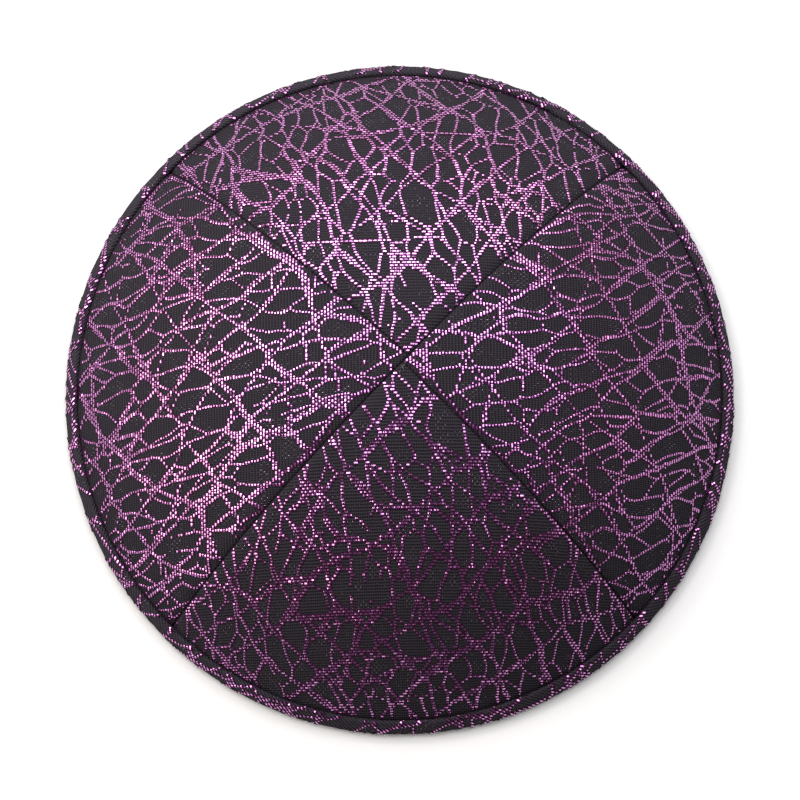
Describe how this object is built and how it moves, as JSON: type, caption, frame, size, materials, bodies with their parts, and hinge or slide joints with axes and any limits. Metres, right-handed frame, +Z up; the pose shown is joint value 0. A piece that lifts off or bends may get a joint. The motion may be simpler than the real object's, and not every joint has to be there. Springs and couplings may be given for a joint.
{
  "type": "four-panel kippah skullcap",
  "caption": "Shallow round skullcap sewn from four cloth gores, with a folded binding around its rim; it is worn on the crown of the head.",
  "frame": {"origin": "centre of the rim, on the surface that the cap rests on", "axes": "+Z up through the crown, +Y to the back of the cap, +X to its right"},
  "size_m": [0.164, 0.1676, 0.045],
  "materials": {
    "brocade": "black ribbed cloth with a woven web of metallic magenta thread",
    "binding": "the same cloth, folded"
  },
  "bodies": {
    "root": {"panel_back": "brocade", "panel_left": "brocade", "panel_front": "brocade", "panel_right": "brocade", "rim_binding": "binding"}
  },
  "joints": []
}
